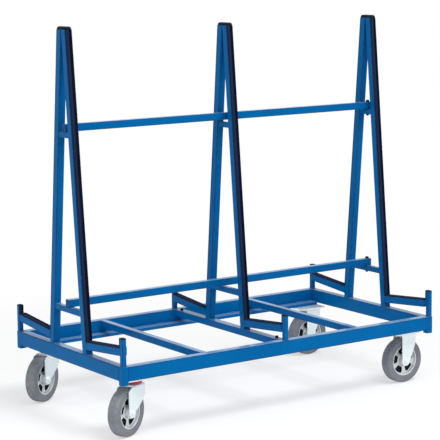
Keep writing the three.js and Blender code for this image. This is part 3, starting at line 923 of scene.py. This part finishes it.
welds = Shape()
for side in SIDES.values():
    y = side * RAIL_INNER_Y
    for x, width in MEMBERS.values():
        for edge in (-1, 1):
            at = x + edge * width / 2
            bead(welds, (at, y, MEMBER_UNDERSIDE + BEAD_START), (at, y, BASE_TOP - BEAD_STOP))
        reach = width / 2 - BEAD_STOP
        bead(welds, (x - reach, y, MEMBER_UNDERSIDE), (x + reach, y, MEMBER_UNDERSIDE))
    half = POST_SIDE / 2
    low_y, high_y = side * POST_Y - half, side * POST_Y + half
    for x in (-CORNER_POST_X, 0, CORNER_POST_X):
        for edge in (-1, 1):
            # Corner posts have no bead at the cart's end
            if edge * x <= 0:
                at = x + edge * half
                bead(welds, (at, low_y, BASE_TOP), (at, high_y, BASE_TOP), THIN_BEAD)
        at = side * POST_FACE_Y
        bead(welds, (x - half, at, BASE_TOP), (x + half, at, BASE_TOP), THIN_BEAD)
    for x in LEDGE_BEADS:
        start, end = x - LEDGE_BEAD_HALF, x + LEDGE_BEAD_HALF
        bead(welds, (start, y, LEDGE_TOP), (end, y, LEDGE_TOP), THICK_BEAD)
    for end in ENDS.values():
        x = end * RAIL_INNER_X
        bead(welds, (x, y, LEDGE_TOP + BEAD_STOP), (x, y, BASE_TOP - RAIL_BEAD_STOP))
beads("base_weld_beads", welds)

for name, (x, post_x, drop) in FRAMES.items():
    welds = Shape()
    half = LEG_SIDE / 2
    foot_z = BASE_TOP + drop
    under = ARM_ROOT + DOWN_LEG * ARM_SIDE
    for side in SIDES.values():
        low_y, high_y = sorted((side * leg_face(foot_z), side * (leg_face(foot_z) - LEG_SIDE)))
        corners = [(x - half, low_y), (x + half, low_y), (x + half, high_y), (x - half, high_y)]
        for start, end in zip(corners, corners[1:] + corners[:1]):
            bead(welds, (*start, foot_z), (*end, foot_z))
        root_y, under_y = side * ARM_ROOT.x, side * under.x
        for at in (x - half, x + half):
            bead(welds, (at, root_y, ARM_ROOT.y - BEAD_START), (at, under_y, under.y))
        bead(welds, (x - half, under_y, under.y), (x + half, under_y, under.y))
        y = side * POST_FACE_Y
        for at in (max(x - half, post_x - POST_SIDE / 2), min(x + half, post_x + POST_SIDE / 2)):
            bead(welds, (at, y, ARM_END.y - BEAD_STOP), (at, y, ARM_END.y - ARM_SIDE), THIN_BEAD)
        for top_z in BRACES.values():
            low_z = top_z - BRACE_SIDE
            top_y = side * (leg_face(top_z) - LEG_SIDE)
            low_y = side * (leg_face(low_z) - LEG_SIDE)
            left, right = x - BRACE_SIDE / 2, x + BRACE_SIDE / 2
            for at in (left, right):
                bead(welds, (at, top_y, top_z - BEAD_START), (at, low_y, low_z + BEAD_START))
            bead(welds, (left, low_y, low_z), (right, low_y, low_z))
    beads(f"weld_beads_{name}", welds.lowered(drop))


# ---------------- wheels

def polar(radius, angle):
    return Vector((radius * math.cos(angle), radius * math.sin(angle)))


def tyre(place):
    """A solid rubber tyre: crowned tread, round shoulders and a raised ring on each side."""
    half = TYRE_WIDTH / 2
    right = [(radius, half - depth) for radius, depth in TYRE_SIDE]
    under, inward = TYRE_SHOULDER_INSET
    corner = Vector((WHEEL_RADIUS - under - TYRE_SHOULDER, half - inward - TYRE_SHOULDER))
    for i in range(1, TYRE_SHOULDER_STEPS + 1):
        turn = math.pi / 2 * (1 - i / TYRE_SHOULDER_STEPS)
        right.append(corner + polar(TYRE_SHOULDER, turn))
    right += TYRE_TREAD
    profile = right + [(r, -y) for r, y in reversed(right)]
    wear = [0.0 if r < WHEEL_RADIUS - TYRE_WORN_DEPTH else 1.0 for r, _ in profile]
    return turned(Shape(), profile, TYRE_SIDES, place, wear)


def mirrored(points):
    return [Vector((p.x, -p.y)) for p in points]


def resample(line, count):
    """Points at equal steps along a line, both ends included."""
    steps = [(b - a).length for a, b in zip(line, line[1:])]
    total = sum(steps)
    points, i, gone = [line[0]], 0, 0.0
    for k in range(1, count):
        want = total * k / count
        while gone + steps[i] < want:
            gone += steps[i]
            i += 1
        points.append(line[i].lerp(line[i + 1], (want - gone) / steps[i]))
    return points + [line[-1]]


def loop(outer, other, inner, side):
    """A loop from an outer arc, a flank, an inner arc and the other flank."""
    return outer[:-1] + other[:0:-1] + inner[:0:-1] + side[:-1]


def kidney(offset):
    """A pocket's edge, a kidney shape round the angle 0, moved outwards by an offset."""
    spread = math.radians(POCKET_ANGLE) / 2
    outer_reach = POCKET_OUTER - POCKET_CORNER
    inner_reach = POCKET_INNER + POCKET_CORNER
    outer_turn = spread - math.asin(POCKET_CORNER / outer_reach)
    inner_turn = spread - math.asin(POCKET_CORNER / inner_reach)
    outer_corner = polar(outer_reach, outer_turn)
    inner_corner = polar(inner_reach, inner_turn)

    def fan(middle, start, end):
        turns = [start + (end - start) * i / FAN_STEPS for i in range(FAN_STEPS + 1)]
        return [middle + polar(POCKET_CORNER + offset, a) for a in turns]

    def end_arc(corner, start, end, radius, turn):
        """Half a corner, an arc about the axle and half the next corner."""
        first = fan(corner, start, end)
        arc = [polar(radius, turn * (1 - 2 * i / FINE_STEPS)) for i in range(1, FINE_STEPS)]
        return resample(first + arc + mirrored(reversed(first)), ARC_STEPS)

    flank = (outer_corner - inner_corner).normalized()
    across = math.atan2(flank.x, -flank.y)
    toward = inner_turn + math.pi
    halfway_out = (outer_turn + across) / 2
    halfway_in = (across + toward) / 2
    outer = end_arc(outer_corner, halfway_out, outer_turn, POCKET_OUTER + offset, outer_turn)
    inner = end_arc(inner_corner, halfway_in, toward, POCKET_INNER - offset, inner_turn)
    side = fan(inner_corner, halfway_in, across) + fan(outer_corner, across, halfway_out)
    side = resample(side, SIDE_STEPS)
    return loop(outer, mirrored(side), inner, side)


def sector():
    """The edge of a pocket's share of the web, with as many points as a pocket's edge."""
    half = math.pi / POCKET_COUNT
    angles = [half * (1 - 2 * i / ARC_STEPS) for i in range(ARC_STEPS + 1)]
    outer = [polar(WEB_OUTER, a) for a in angles]
    inner = [polar(WEB_INNER, a) for a in angles]
    shares = [i / SIDE_STEPS for i in range(SIDE_STEPS + 1)]
    side = [inner[0].lerp(outer[0], share) for share in shares]
    other = [inner[-1].lerp(outer[-1], share) for share in shares]
    return loop(outer, other, inner, side)


def rim(place, turn):
    """A cast rim: hub, web with deep kidney pockets on each face, and a rounded flange."""
    shape = Shape()
    turn = math.radians(turn)
    web, flange, hub = WEB_WIDTH / 2, RIM_WIDTH / 2, HUB_WIDTH / 2
    bore = AXLE_RADIUS + TURNING_GAP
    hub_line = [(bore, hub)]
    hub_line += [(HUB_RADIUS + r, hub + y) for r, y in HUB_END]
    hub_line += [(HUB_RADIUS + r, web + y) for r, y in HUB_FOOT]
    hub_line += [(WEB_INNER, web)]
    flange_line = [(WEB_OUTER + r, web + y) for r, y in FLANGE_FOOT]
    flange_line += [(RIM_RADIUS + r, flange + y) for r, y in FLANGE_EDGE]
    loops = [(sector(), web, 0.0)]
    loops += [(kidney(offset), web - depth, worn) for offset, depth, worn in POCKET_LIP]
    loops += [(kidney(POCKET_DRAFT), POCKET_FLOOR / 2, 0.0)]
    count = len(loops[0][0])
    lip = 3  # loops of bare alloy, before the dark ones

    def band(line):
        """A line turned about the axle, in step with the pockets."""
        wear = [0.0] + [1.0] * (len(line) - 2) + [0.0]
        start = turn + math.pi / POCKET_COUNT
        turned(shape, line, POCKET_COUNT * ARC_STEPS, place, wear, start, closed=False)

    for face in (-1, 1):
        for line in (hub_line, flange_line):
            band([(r, face * y) for r, y in line])
        for n in range(POCKET_COUNT):
            angle = turn + 2 * math.pi * n / POCKET_COUNT
            cos, sin = math.cos(angle), math.sin(angle)
            rows = []
            for edge, y, _ in loops:
                spun = [(p.x * cos - p.y * sin, p.x * sin + p.y * cos) for p in edge]
                rows.append([(u, face * y, v) for u, v in spun])
            wear = [worn for _, _, worn in loops[:lip] for _ in range(count)]
            shape.add(rows[:lip], skin(rows[:lip], caps=False), wear, 0, place)
            # Painted shade: the inside of the pocket, down to its floor, gets a near-black finish
            inside = rows[lip - 1:]
            faces = skin(inside, caps=False)
            faces.append(tuple((len(inside) - 1) * count + k for k in range(count)))
            shape.add(inside, faces, None, 1, place)
    # Bore and outer seat, which join the two faces
    for radius, half in (hub_line[0], flange_line[-1]):
        band([(radius, -half), (radius, half)])
    return shape


def wheel(name, place, turn):
    body = f"wheel_{name}"
    piece(f"tyre_{name}_rubber", tyre(place), body, [GREY], f"tyre_{name}")
    piece(f"rim_{name}_casting", rim(place, turn), body, [ALLOY, POCKET_SHADE], f"rim_{name}",
          merge=RIM_MERGE)


# ---------------- casters

def fork_sheet(axle_x, front, top_z, crown_rear, bulge):
    """The outer skin of a bent fork: rows of points from eye to eye, over the crown."""
    shoulder = top_z - CHEEK_SHOULDER
    bend = top_z - BEND_RADIUS

    def reach(z):
        if z < WHEEL_RADIUS:
            across = math.sqrt(max(CHEEK_EYE ** 2 - (WHEEL_RADIUS - z) ** 2, 0.0))
            return axle_x - across, axle_x + across
        sweep = max(0.0, (z - bend + REAR_SWEEP) / (BEND_RADIUS + REAR_SWEEP))
        low_x = axle_x - CHEEK_REAR
        low_x += (crown_rear - low_x) * sweep ** 2
        down = max(0.0, (shoulder - z) / (shoulder - WHEEL_RADIUS))
        high_x = axle_x + front + (CHEEK_EYE - front) * down ** bulge
        return low_x, high_x

    line = []
    for degrees in EYE_ANGLES:
        line.append((CHEEK_OUTER, WHEEL_RADIUS - CHEEK_EYE * math.sin(math.radians(degrees))))
    for i in range(1, CHEEK_STEPS + 1):
        line.append((CHEEK_OUTER, WHEEL_RADIUS + (bend - WHEEL_RADIUS) * i / CHEEK_STEPS))
    for i in range(1, BEND_STEPS + 1):
        corner = Vector((CHEEK_OUTER - BEND_RADIUS, bend))
        line.append(corner + polar(BEND_RADIUS, math.pi / 2 * i / BEND_STEPS))
    line += [(-y, z) for y, z in reversed(line)]
    rows = []
    for y, z in line:
        low_x, high_x = reach(z)
        step = (high_x - low_x) / FORK_COLUMNS
        rows.append([(low_x + step * k, y, z) for k in range(FORK_COLUMNS + 1)])
    return rows


def thicken(thing):
    """Gives a bent sheet its thickness and broken edges, then evens out its shading."""
    solid = thing.modifiers.new("sheet", "SOLIDIFY")
    solid.thickness = SHEET_THICKNESS * MM
    solid.offset = -1
    solid.use_even_offset = True
    edges = thing.modifiers.new("edges", "BEVEL")
    edges.width = SHEET_EDGE * MM
    edges.segments = 2
    edges.limit_method = "ANGLE"
    edges.angle_limit = math.radians(SHEET_EDGE_ANGLE)
    thing.modifiers.move(thing.modifiers.find("even_shading"), len(thing.modifiers) - 1)


def fork(node, body, place, *outline):
    """A fork bent from one sheet."""
    shape = Shape()
    rows = fork_sheet(*outline)
    wide = FORK_COLUMNS + 1
    faces = [(i * wide + k, i * wide + k + 1, (i + 1) * wide + k + 1, (i + 1) * wide + k)
             for i in range(len(rows) - 1) for k in range(FORK_COLUMNS)]
    wear = ([1.0] + [0.0] * (FORK_COLUMNS - 1) + [1.0]) * len(rows)
    shape.add(rows, faces, wear, 0, place)
    thicken(zinc(f"{node}_sheet", shape, body, node))


def axle_bolt(name, body, place, axle_x):
    """The axle with its head on one side and its nut on the other, each on a washer."""
    at = place @ shift_to(axle_x, 0, WHEEL_RADIUS)
    half = CHEEK_OUTER + AXLE_PAST_CHEEK
    plan = polygon(AXLE_RADIUS - AXLE_SLACK)
    shape = prism(Shape(), plan, -half, half, AXLE_SEAT, AXLE_SEAT, place=at @ tipped(-90))
    for tip, turn in ((-90, 0.2), (90, 0.6)):
        cheek = at @ tipped(tip) @ shift_to(0, 0, CHEEK_OUTER)
        bolt(shape, cheek, *AXLE_BOLT, turn, AXLE_SEAT)
        rod_end(shape, cheek, *AXLE_TIP)
    zinc(f"axle_bolt_{name}", shape, body)


def caster_plate(x, y):
    plan = rectangle(x, y, PLATE_LENGTH, PLATE_WIDTH, PLATE_CORNER)
    return prism(Shape(), plan, PLATE_UNDERSIDE, PLATE_TOP, PLATE_ROUND, PLATE_ROUND)


def plate_bolts(name, x, y):
    """Two bolts that hold a caster plate up to the ledge."""
    shape = Shape()
    out = math.copysign(PLATE_BOLT_Y, y)
    for along in (-PLATE_BOLT_X, PLATE_BOLT_X):
        face = shift_to(x + along, y + out, PLATE_UNDERSIDE) @ DOWNWARD
        bolt(shape, face, *PLATE_BOLT, turn=-0.3)
    zinc(f"plate_bolts_{name}", shape)


def caster_ring(place):
    """The ring between a swivel caster's fork and its plate."""
    low_z, high_z = CROWN_TOP + TURNING_GAP, PLATE_UNDERSIDE
    bore = KINGPIN_RADIUS + TURNING_GAP
    outline = [(bore, low_z)]
    outline += [(RING_RADIUS - inward, low_z + up) for inward, up in RING_SIDE]
    outline += [(RING_RADIUS - inward, high_z - down) for inward, down in RING_RIM]
    outline += [(bore, high_z)]
    return turned(Shape(), outline, RING_SIDES, place @ tipped(90))


def kingpin(place):
    foot, top = CROWN_TOP - KINGPIN_SINK, PLATE_TOP - KINGPIN_TOP_GAP
    plan = polygon(KINGPIN_RADIUS)
    return prism(Shape(), plan, foot, top, KINGPIN_ROUND, KINGPIN_ROUND, place=place)


for name, turn in SWIVEL_TURN.items():
    x, y = -CASTER_X, CASTER_Y * SIDES[name.split("_")[0]]
    mount = shift_to(x, y, 0)
    swivel = mount @ Matrix.Rotation(math.radians(turn), 4, "Z")
    body = f"swivel_{name}"
    zinc(f"caster_plate_{name}_sheet", caster_plate(x, y), node=f"caster_plate_{name}")
    plate_bolts(name, x, y)
    node = f"caster_ring_{name}"
    piece(f"{node}_cover", caster_ring(mount), "frame", [RED], node)
    fork(f"caster_fork_{name}", body, swivel, -CASTER_TRAIL, SWIVEL_CHEEK_FRONT, CROWN_TOP,
         -CROWN_REACH, SWIVEL_BULGE)
    zinc(f"kingpin_{name}", kingpin(swivel), body)
    axle_bolt(name, body, swivel, -CASTER_TRAIL)
    wheel(name, swivel @ shift_to(-CASTER_TRAIL, 0, WHEEL_RADIUS), LEFT_RIM_TURN)

for name_y, side in SIDES.items():
    name = f"{name_y}_right"
    x, y = CASTER_X, CASTER_Y * side
    mount = shift_to(x, y, 0)
    fork(f"caster_bracket_{name}", "frame", mount, 0, FIXED_CHEEK_FRONT, PLATE_UNDERSIDE,
         -CHEEK_REAR, FIXED_BULGE)
    shape = caster_plate(x, y)
    for cheek in (-1, 1):
        at = y + cheek * (CHEEK_OUTER - SHEET_THICKNESS / 2)
        rear, front = x - CHEEK_REAR, x + FIXED_CHEEK_FRONT
        bead(shape, (rear, at, PLATE_UNDERSIDE), (front, at, PLATE_UNDERSIDE), THICK_BEAD)
    zinc(f"bracket_plate_{name}", shape)
    plate_bolts(name, x, y)
    axle_bolt(name, "frame", mount, 0)
    wheel(name, mount @ shift_to(0, 0, WHEEL_RADIUS), RIGHT_RIM_TURN)


# ---------------- floor, light and camera

# Metres, watts, and strengths where 1 is white
FLOOR_REACH = 9.0
FLOOR_DROP = 0.0004
FLOOR_TINTS = (0.95, 0.952, 0.955, 1), (0.97, 0.972, 0.974, 1)
FLOOR_LIFT = 0.5
FADE = (1.0, 2.8)
AMBIENT = 0.55
AMBIENT_TINT = (0.99, 0.995, 1.0, 1)
LAMP_AIM = (0, 0, 0.5)

# Camera, found by a fit of the cart's edges to the photograph
CAMERA_TURN = -0.60816
CAMERA_RISE = 0.15343
CAMERA_ROLL = -0.00946
CAMERA_AWAY = 7698.0
CAMERA_AIM = (-35.311, 0.0, 764.768)
FOCAL_PIXELS = 1765.46
IMAGE_PIXELS = 440
SENSOR = 36.0


def floor():
    """A pale floor that fades into the white background away from the cart."""
    mesh = bpy.data.meshes.new("floor")
    corners = [(-1, -1), (1, -1), (1, 1), (-1, 1)]
    corners = [(x * FLOOR_REACH, y * FLOOR_REACH, 0) for x, y in corners]
    mesh.from_pydata(corners, [], [(0, 1, 2, 3)])
    thing = placed("floor", mesh)
    thing.location.z = -FLOOR_DROP
    f = Finish("floor")
    tint = f.mix(f.noise(2.2, 2), *FLOOR_TINTS)
    matt = f.new("ShaderNodeBsdfDiffuse", Color=tint).outputs["BSDF"]
    glow = f.new("ShaderNodeEmission").outputs["Emission"]
    clear = f.new("ShaderNodeBsdfTransparent").outputs["BSDF"]
    seen = f.new("ShaderNodeLightPath").outputs["Is Camera Ray"]
    pale = f.blend(f.times(seen, FLOOR_LIFT), matt, glow)
    away = f.new("ShaderNodeVectorMath", Vector=f.place)
    away.operation = "LENGTH"
    fade = f.span(away.outputs["Value"], *FADE)
    fade.node.interpolation_type = "SMOOTHSTEP"
    f.feed(f.surface, f.blend(fade, pale, clear))
    mesh.materials.append(f.material)


def world():
    """White to the camera and to reflections, and a level of soft light to all else."""
    made = bpy.data.worlds.new("studio")
    scene.world = made
    n = Nodes(made, "ShaderNodeOutputWorld")
    path = n.new("ShaderNodeLightPath").outputs
    seen = n.math("MAXIMUM", path["Is Camera Ray"], path["Is Glossy Ray"])
    seen = n.math("MAXIMUM", seen, path["Is Transmission Ray"])
    white = n.new("ShaderNodeBackground", Color=(1, 1, 1, 1), Strength=1.0)
    soft = n.new("ShaderNodeBackground", Color=AMBIENT_TINT, Strength=AMBIENT)
    n.feed(n.surface, n.blend(seen, soft.outputs["Background"], white.outputs["Background"]))


def lamp(name, place, size, power):
    data = bpy.data.lights.new(name, "AREA")
    data.shape = "SQUARE"
    data.size = size
    data.energy = power
    thing = placed(name, data)
    thing.location = place
    thing.rotation_euler = (Vector(LAMP_AIM) - Vector(place)).to_track_quat("-Z", "Y").to_euler()


def camera():
    data = bpy.data.cameras.new("camera")
    data.sensor_fit = "HORIZONTAL"
    data.sensor_width = SENSOR
    data.lens = FOCAL_PIXELS * SENSOR / IMAGE_PIXELS
    turn = Matrix.Rotation(CAMERA_TURN, 4, "Z")
    rise = Matrix.Rotation(math.pi / 2 - CAMERA_RISE, 4, "X")
    roll = Matrix.Rotation(CAMERA_ROLL, 4, "Z")
    away = shift_to(0, 0, CAMERA_AWAY * MM)
    thing = placed("camera", data)
    thing.matrix_world = shift_to(*row_frame(CAMERA_AIM)) @ turn @ rise @ roll @ away
    scene.camera = thing


floor()
world()
lamp("key", (0.8, -3.6, 6.6), size=3.2, power=330)
lamp("fill", (-5.0, -1.5, 3.0), size=3.0, power=60)
camera()
scene.view_settings.view_transform = "Standard"
